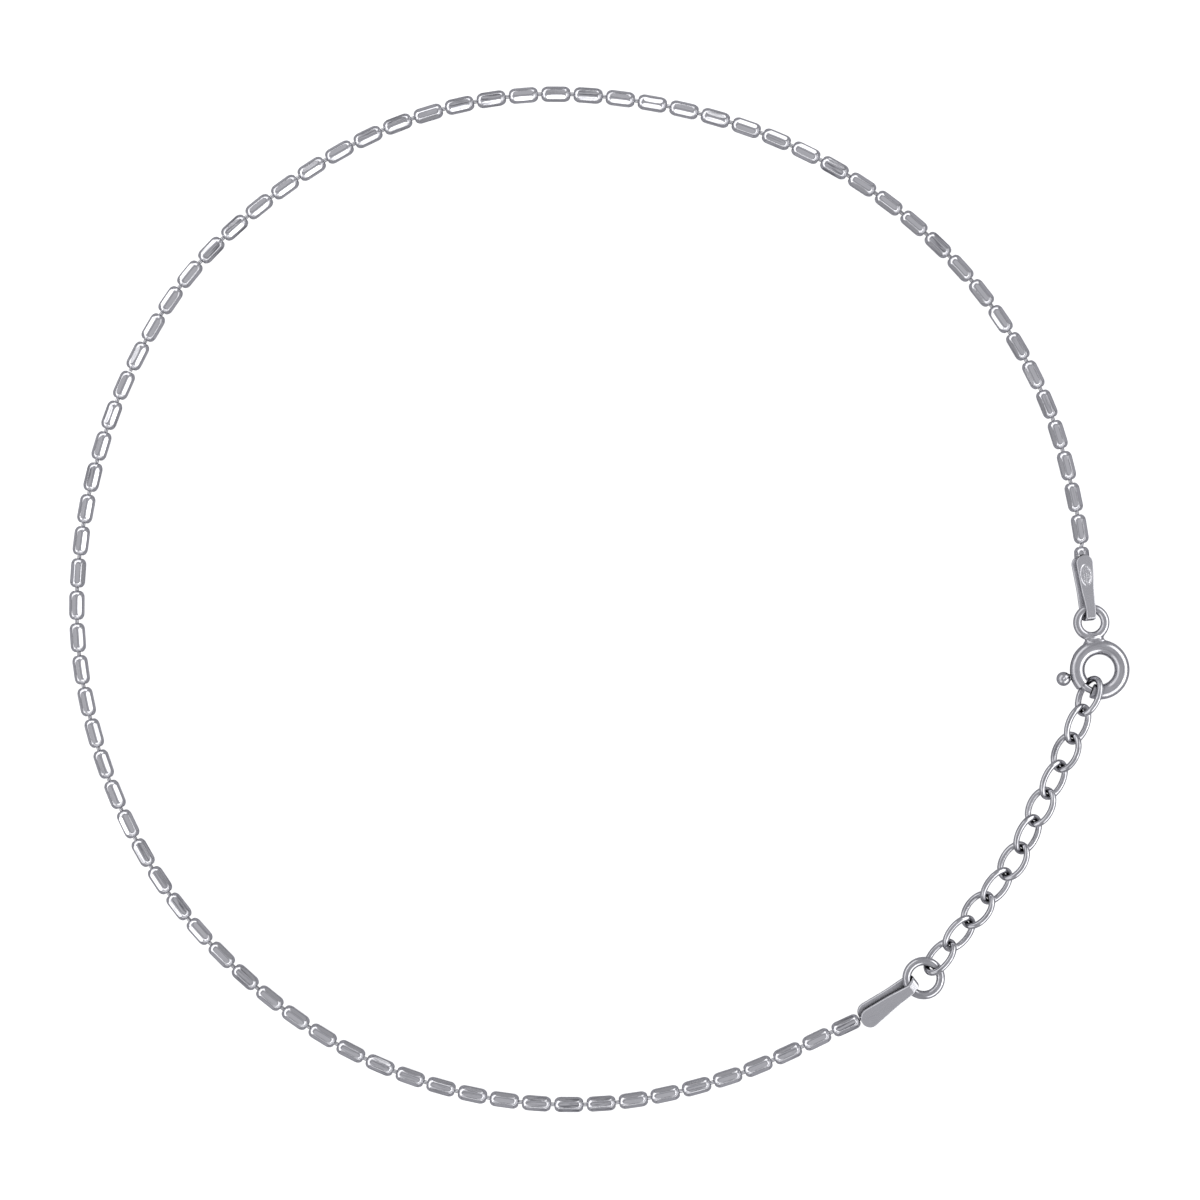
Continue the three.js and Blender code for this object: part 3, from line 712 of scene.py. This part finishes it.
# Hollow ring: one skin that starts at the socket's floor, comes out of the socket, runs round the outside
# and goes back into the bore. Each ring of it is radius * (cos, sin) about the tube's middle line.
# The window for the bolt's neck is left open in both walls, and four strips close its sides.
def hollowRing():
    rim, rings, spaces = clasp["rim"], ringMesh["slotRings"], ringMesh["slotSpaces"]
    slotFrom = 360 + clasp["trigger"] - clasp["travel"] - clasp["margin"]
    slotTo = 360 + clasp["trigger"] + clasp["margin"]
    boreEnd = slotFrom - clasp["boltTail"]
    faceFrom, faceTo = clasp["gapTo"], 360 + clasp["gapFrom"]
    socketEnd = faceFrom + clasp["boltBite"] + clasp["socketSlack"]
    rimTurn = rim / clasp["radius"] * 180 / math.pi
    slotSteps = np.linspace(slotFrom, slotTo, rings)
    outer = np.concatenate([
        [faceFrom + rimTurn], np.linspace(faceFrom + 4, slotFrom, ringMesh["outerRings"])[:-1], slotSteps,
        np.linspace(slotTo, faceTo - rimTurn, ringMesh["lipRings"])[1:]])
    innerLip = np.linspace(faceTo, slotTo, ringMesh["lipRings"])[1:-1]
    heading = np.concatenate([
        [socketEnd, socketEnd, faceFrom, faceFrom], outer, [faceTo, faceTo], innerLip, slotSteps[::-1],
        [boreEnd, boreEnd]])
    tubeRadius = np.concatenate([
        [0, clasp["bore"], clasp["bore"], clasp["tube"] - rim], np.full(len(outer), clasp["tube"]),
        [clasp["tube"] - rim, clasp["bore"]], np.full(len(innerLip) + rings + 1, clasp["bore"]), [0]])
    slotHalf = clasp["neck"] + clasp["slotClear"]
    outerHalf, innerHalf = [math.degrees(math.asin(slotHalf / r)) for r in (clasp["tube"], clasp["bore"])]

    def columns(half):
        return np.concatenate([np.linspace(-half, half, spaces + 1)[:-1],
                               np.linspace(half, 360 - half, ringMesh["roundSpaces"] + 1)[:-1]])

    isInner = tubeRadius <= clasp["bore"]
    around = np.radians(np.where(isInner[:, None], columns(innerHalf), columns(outerHalf)))
    out = clasp["radius"] + tubeRadius[:, None] * np.cos(around)
    rise = tubeRadius[:, None] * np.sin(around)
    turn = np.radians(heading)[:, None]
    points = np.stack([out * np.cos(turn), out * np.sin(turn), rise], -1)
    outerStart = 4 + ringMesh["outerRings"]
    innerStart = 4 + len(outer) + 2 + len(innerLip)
    keep = np.ones((len(heading) - 1, points.shape[1]), bool)
    for start in (outerStart, innerStart):
        keep[start:start + rings - 1, :spaces] = False
    skin = gridShell(points + claspCentre, np.radians(heading) * clasp["radius"], keep=keep)
    outerWall = points[outerStart:outerStart + rings, :spaces + 1] + claspCentre
    innerWall = points[innerStart:innerStart + rings, :spaces + 1][::-1] + claspCentre
    strips = []
    for side in (np.s_[:, 0], np.s_[:, -1], np.s_[0], np.s_[-1]):
        a, b = outerWall[side], innerWall[side]
        k = np.arange(len(a) - 1)
        faces = np.stack([k, k + 1, k + 1 + len(a), k + len(a)], -1)
        strips.append((np.vstack([a, b]), faces, np.zeros((len(k), 4, 2))))
    return [skin, *strips]


# Solder lump between the ring and its eye: oval sections whose width has a waist, and whose skin swells
# by two crossed waves. Its ends are capped by sqrt(1 - |2t - 1|^6).
def solderLump():
    t = np.linspace(0, 1, solder["rings"])
    s = np.arange(solder["sides"]) * 2 * np.pi / solder["sides"]
    start = polar(claspCentre, clasp["radius"] + solder["fromTube"], clasp["eyeHeading"] + 180)
    stop = polar(eyeCentre, clasp["eye"] - solder["intoEye"], clasp["eyeHeading"])
    middles = start + (stop - start) * t[:, None]
    waist = 1 - solder["waist"] * np.sin(np.pi * t) + solder["taper"] * (1 - t)
    rise = 1 + solder["endRise"] * np.cos(2 * np.pi * t)
    swell = (1 + solder["waveOne"] * np.sin(9 * t[:, None] + 2 * s)
             + solder["waveTwo"] * np.sin(5 * s + 7 * t[:, None]))
    cap = np.sqrt(np.clip(1 - np.abs(2 * t - 1) ** solder["capPower"], 0, 1))
    halfWidth = (clasp["solder"] / 2 * waist * cap)[:, None] * swell
    halfRise = (clasp["solderHeight"] * rise * cap)[:, None] * swell
    axes = axesAlong(stop - start, 0.0)
    sideways, lift = (halfWidth * np.cos(s))[..., None] * axes[1], (halfRise * np.sin(s))[..., None] * axes[2]
    return gridShell(middles[:, None] + sideways + lift, t * solder["wayInMarks"])


levelAxes = np.eye(3)
eyeShell = wireRing(clasp["eye"], clasp["eye"], clasp["eyeWire"], eyeCentre, levelAxes, *clasp["eyeSteps"])
makePiece("claspRing", [*hollowRing(), eyeShell, solderLump()], claspSilver, "anklet", ["clasp_ring"])


trigger = {
    "domeShare": 0.8,                              # of the bolt's radius, how far its round ends reach
    "flare": 0.1, "flareReach": 0.09,              # of the neck where it meets the ball
    "collar": 0.27, "collarBefore": 0.4,           # radius kept up to this far before the ball's middle
    "groove": 0.09, "grooveWidth": 0.06,           # depth, and width of the bell e^-(x/width)^2
    "grooveEnd": 0.05, "grooveSoft": 0.03, "grooveFrom": 0.02,
    "capRings": 7, "boltRings": 40, "boltSides": 28, "neckRings": 14, "ballRings": 40, "ballSides": 72,
}


# Bolt: a rod bent to the ring's radius, with ends rounded by sqrt(1 - t^2)
def boltShell():
    tail, nose = clasp["trigger"] - clasp["boltTail"], clasp["gapTo"] + clasp["boltBite"]
    cap, straight = np.linspace(0, 1, trigger["capRings"]), trigger["boltRings"]
    dome = math.degrees(clasp["bolt"] * trigger["domeShare"] / clasp["radius"])
    headings = np.concatenate([tail + dome * cap[:-1], np.linspace(tail + dome, nose - dome, straight),
                               nose - dome * cap[::-1][1:]])
    radii = clasp["bolt"] * np.concatenate([np.sqrt(1 - (1 - cap[:-1]) ** 2), np.ones(straight),
                                            np.sqrt(1 - (1 - cap[::-1][1:]) ** 2)])
    middles = polar(claspCentre, clasp["radius"], headings)
    return sweptRod(middles, polar([0, 0, 0], 1.0, headings + 90), radii, trigger["boltSides"])


# Neck and ball: one profile turned about the line out from the ring, a straight neck that flares into a
# ball, sqrt(r^2 - distance^2), with a fine groove down the ball's upper side towards the neck
def neckAndBall():
    ballAt = clasp["tube"] + clasp["standOff"]
    meet = math.sqrt(clasp["ball"] ** 2 - clasp["neck"] ** 2)
    neckEnd = ballAt - meet
    neckWay = np.linspace(0, neckEnd, trigger["neckRings"])[:-1]
    ballTurn = np.linspace(math.atan2(clasp["neck"], -meet), 0, trigger["ballRings"])
    way = np.concatenate([[0], neckWay, ballAt + clasp["ball"] * np.cos(ballTurn)])
    radius = np.concatenate([[0], np.full(len(neckWay), clasp["neck"]), clasp["ball"] * np.sin(ballTurn)])
    flare = trigger["flare"] * np.exp(-(((way - neckEnd) / trigger["flareReach"]) ** 2))
    collar = trigger["collar"] * (way < ballAt - trigger["collarBefore"])
    radius = np.where(way <= neckEnd + 1e-6, radius + flare * (radius > 0), np.maximum(radius, collar))
    s = np.arange(trigger["ballSides"]) * 2 * np.pi / trigger["ballSides"]
    sideways, rise = radius[:, None] * np.sin(s), radius[:, None] * np.cos(s)
    grooved = softStep((way - ballAt - trigger["grooveEnd"]) / trigger["grooveSoft"])
    grooved = (grooved * (way > neckEnd + trigger["grooveFrom"]))[:, None] * (rise > 0)
    rise = rise - trigger["groove"] * np.exp(-((sideways / trigger["grooveWidth"]) ** 2)) * grooved
    axes = axesAlong(polar([0, 0, 0], 1.0, clasp["trigger"]), 0.0)
    root = polar(claspCentre, clasp["radius"], clasp["trigger"])
    points = root + way[:, None, None] * axes[0] + sideways[..., None] * axes[1] + rise[..., None] * axes[2]
    return gridShell(points, way)


makePiece("claspTrigger", [boltShell(), neckAndBall()], claspSilver, "trigger", ["clasp_trigger"])

print("stage: jump ring and extender links")
jumpShell = wireRing(chain["jump"], chain["jump"], chain["jumpWire"], jumpCentre, levelAxes,
                     *chain["jumpSteps"])
makePiece("jumpRing", [jumpShell], wireSilver, "anklet", ["jump_ring"])
firstLink = polar(claspCentre, clasp["radius"] - clasp["tube"] + hang, chain["heading"])
lastLink = polar(jumpCentre, chain["jump"] - chain["jumpSpacingWire"] + hang, chain["lastHeading"])
chainRoute = routeThrough(np.vstack([firstLink, chainLine, lastLink]))
longestPitch = chain["length"] - 4 * chain["spacingWire"] - string["clear"]
spaces = math.ceil(chainRoute[1][-1] / longestPitch)
linkPlace, linkAlong = routeAt(chainRoute, chainRoute[1][-1] * np.arange(spaces + 1) / spaces)
linkAlong[:, 2] = 0
for i in range(spaces + 1):
    tilt = chain["endTilt"] if i in (0, spaces) else chain["tilt"]
    linkPlace[i, 2] = restHeight(tilt)
    linkAxes = axesAlong(linkAlong[i], -tilt if i % 2 else tilt)
    shell = wireRing(halfLong, halfWide, chain["wire"], linkPlace[i], linkAxes, *chain["linkSteps"])
    tones = np.full(len(shell[0]), (i * chain["toneStep"]) % 1)
    makePiece(f"extenderLink{i + 1:02d}", [shell], wireSilver, "anklet", [f"extender_link_{i + 1:02d}"],
              tones)

print("stage: floor, lights and camera")
studio = {
    # the view's middle on the floor, the width that it shows at a height above it, and the lens, in mm
    "photoMiddle": (0.0789, -0.0590), "frameWidth": 96.0, "frameHeight": 0.8, "lens": 120.0,
    "floorHalf": 1500, "floorDrop": 0.02,
    "floor": (0.93, 0.93, 0.935), "floorInSilver": (0.85, 0.85, 0.87), "floorGlow": 0.85,
    # the room's grey by the sine of the height, from the horizon to the roof
    "room": [(0.0, 0.30), (0.25, 0.38), (0.65, 0.43), (0.85, 0.47), (1.0, 0.46)],
    "roomStrength": 1.0, "roomTint": 1.05,
    # white panels stand far off, or near by and higher up: distance in mm, rise and height in degrees
    "stands": {"far": (420, 29, 34), "side": (420, 29, 22), "low": (420, 24, 11), "near": (160, 49, 17)},
    # as (headings, width in degrees, glow, stand, what it lights)
    "panels": [
        ((-106, -68.5, -31, 6.5), 37.5, 1.1, "near", "beads"),
        ((71,), 18, 1.2, "far", "beads"), ((142.5,), 30, 1.2, "far", "beads"),
        ((214,), 18, 1.2, "far", "beads"), ((103.5, 181), 47, 1.6, "side", "beads"),
        ((-100, -50, 0), 50, 0.9, "low", "beads"), ((-46, 1), 47, 1.45, "far", "fittings"),
        ((38,), 27, 1.3, "far", "fittings"), ((130, 175, 220), 40, 0.66, "far", "fittings")],
}
corners = [(x * studio["floorHalf"] * mm, y * studio["floorHalf"] * mm, -studio["floorDrop"] * mm)
           for x, y in ((-1, -1), (1, -1), (1, 1), (-1, 1))]
floorMesh = bpy.data.meshes.new("floor")
floorMesh.from_pydata(corners, [], [(0, 1, 2, 3)])
floor = bpy.data.objects.new("floor", floorMesh)
bpy.context.scene.collection.objects.link(floor)
# paper that the camera sees glowing white, so it holds no shadow, and that the silver sees a little darker
paperMaterial = bpy.data.materials.new("palePaper")
paperMaterial.use_nodes = True
paper = paperMaterial.node_tree
paperShader = paper.nodes["Principled BSDF"]
cameraSees = paper.nodes.new("ShaderNodeLightPath").outputs["Is Camera Ray"]
paper.links.new(addMix(paper, studio["floorInSilver"], studio["floor"], cameraSees),
                paperShader.inputs["Base Color"])
paper.links.new(addMath(paper, "MULTIPLY", cameraSees, studio["floorGlow"]),
                paperShader.inputs["Emission Strength"])
paperShader.inputs["Emission Color"].default_value = (1, 1, 1, 1)
paperShader.inputs["Roughness"].default_value = 0.9
paperShader.inputs["Specular IOR Level"].default_value = 0.1
floorMesh.materials.append(paperMaterial)

world = bpy.data.worlds.new("studio")
bpy.context.scene.world = world
world.use_nodes = True
tent = world.node_tree
background = tent.nodes["Background"]
towards = tent.nodes.new("ShaderNodeTexCoord")
heights = tent.nodes.new("ShaderNodeSeparateXYZ")
walls = tent.nodes.new("ShaderNodeValToRGB")
tent.links.new(towards.outputs["Generated"], heights.inputs[0])
tent.links.new(heights.outputs["Z"], walls.inputs["Fac"])
tent.links.new(walls.outputs["Color"], background.inputs["Color"])
background.inputs["Strength"].default_value = studio["roomStrength"]
stops = walls.color_ramp.elements
for rise, grey in studio["room"]:
    stop = stops[0] if rise == 0 else stops[-1] if rise == 1 else stops.new(rise)
    stop.color = (grey, grey, grey * studio["roomTint"], 1)


# the beads and the fittings are lit each by panels of their own
litGroups = {group: bpy.data.collections.new(group) for group in ("beads", "fittings")}
for piece in bpy.context.scene.collection.objects:
    if piece.type == "MESH" and piece is not floor:
        litGroups["beads" if piece in beadStrings else "fittings"].objects.link(piece)


# A soft panel stands at a heading and a height angle round the loop and faces its middle. Its power is
# what gives it the wanted glow: glow * pi * area
def softPanel(heading, width, glow, stand, lit):
    reach, rise, height = studio["stands"][stand]
    wide = 2 * reach * math.tan(math.radians(width / 2)) * mm
    tall = 2 * reach * math.tan(math.radians(height / 2)) * mm
    light = bpy.data.lights.new(f"panel{int(heading) % 360}", "AREA")
    light.shape = "RECTANGLE"
    light.size, light.size_y = wide, tall
    light.energy = glow * math.pi * wide * tall
    panel = bpy.data.objects.new(light.name, light)
    bpy.context.scene.collection.objects.link(panel)
    rise = math.radians(rise)
    away = polar([0, 0, math.sin(rise)], math.cos(rise), heading)
    panel.location = away * reach * mm
    panel.rotation_mode = "QUATERNION"
    panel.rotation_quaternion = Vector(away).to_track_quat("Z", "Y")
    panel.visible_camera = False
    panel.light_linking.receiver_collection = litGroups[lit]


for headings, width, glow, stand, lit in studio["panels"]:
    for heading in headings:
        softPanel(heading, width, glow, stand, lit)

camera = bpy.data.objects.new("camera", bpy.data.cameras.new("camera"))
bpy.context.scene.collection.objects.link(camera)
camera.data.lens = studio["lens"]
camera.data.sensor_width = 36.0
distance = studio["frameWidth"] * studio["lens"] / camera.data.sensor_width
camera.location = (studio["photoMiddle"][0] * mm, studio["photoMiddle"][1] * mm,
                   (distance + studio["frameHeight"]) * mm)
camera.data.clip_start, camera.data.clip_end = 0.01, 10.0
bpy.context.scene.camera = camera
bpy.context.scene.view_settings.view_transform = "Standard"
bpy.context.scene.view_settings.look = "None"
